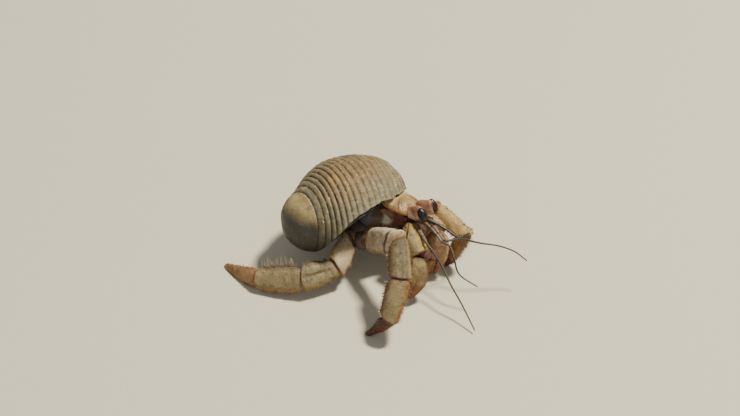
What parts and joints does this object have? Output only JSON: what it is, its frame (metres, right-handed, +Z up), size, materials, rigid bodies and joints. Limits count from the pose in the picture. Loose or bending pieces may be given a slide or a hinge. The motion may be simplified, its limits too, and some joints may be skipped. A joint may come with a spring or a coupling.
{
  "type": "hermit crab",
  "caption": "Land hermit crab walking in a ribbed, round snail shell with a worn spire, legs spread, claws held before its mouth and long feelers out in front.",
  "frame": {"origin": "on the ground, under the middle of the model's bounding box", "axes": "+X the way the crab is heading, +Y its left, +Z up"},
  "size_m": [0.0616, 0.0494, 0.0262],
  "materials": {
    "shell": "worn, satin, ribbed",
    "shield": "smooth, satin horn",
    "flank": "smooth, satin horn",
    "skin": "soft, damp skin",
    "mouthparts": "satin horn with hairs",
    "eyestalk": "satin horn",
    "cornea": "glossy, black",
    "feeler": "satin, ringed",
    "claw": "grainy, satin horn",
    "dactyl": "grainy, satin horn",
    "leg": "grainy, satin horn"
  },
  "bodies": {
    "root": {"abdomen": "skin", "antenna_base_left": "feeler", "antenna_base_right": "feeler", "antenna_whip_left": "feeler", "antenna_whip_right": "feeler", "antennule_stem_left": "feeler", "antennule_stem_right": "feeler", "antennule_tip_left": "feeler", "antennule_tip_right": "feeler", "claw_left_carpus": "claw", "claw_left_finger": "claw", "claw_left_ischium": "claw", "claw_left_merus": "claw", "claw_left_palm": "claw", "claw_right_carpus": "claw", "claw_right_finger": "claw", "claw_right_ischium": "claw", "claw_right_merus": "claw", "claw_right_palm": "claw", "cornea_left": "cornea", "cornea_right": "cornea", "eyestalk_left": "eyestalk", "eyestalk_right": "eyestalk", "flank_left": "flank", "flank_right": "flank", "leg2_left_carpus": "leg", "leg2_left_dactyl": "dactyl", "leg2_left_ischium": "leg", "leg2_left_merus": "leg", "leg2_left_propodus": "leg", "leg2_right_carpus": "leg", "leg2_right_dactyl": "dactyl", "leg2_right_ischium": "leg", "leg2_right_merus": "leg", "leg2_right_propodus": "leg", "leg3_left_carpus": "leg", "leg3_left_dactyl": "dactyl", "leg3_left_ischium": "leg", "leg3_left_merus": "leg", "leg3_left_propodus": "leg", "leg3_right_carpus": "leg", "leg3_right_dactyl": "dactyl", "leg3_right_ischium": "leg", "leg3_right_merus": "leg", "leg3_right_propodus": "leg", "leg4_left": "leg", "leg4_right": "leg", "maxilliped_left": "mouthparts", "maxilliped_right": "mouthparts", "shell": "shell", "shield": "shield", "thorax": "skin"}
  },
  "joints": []
}
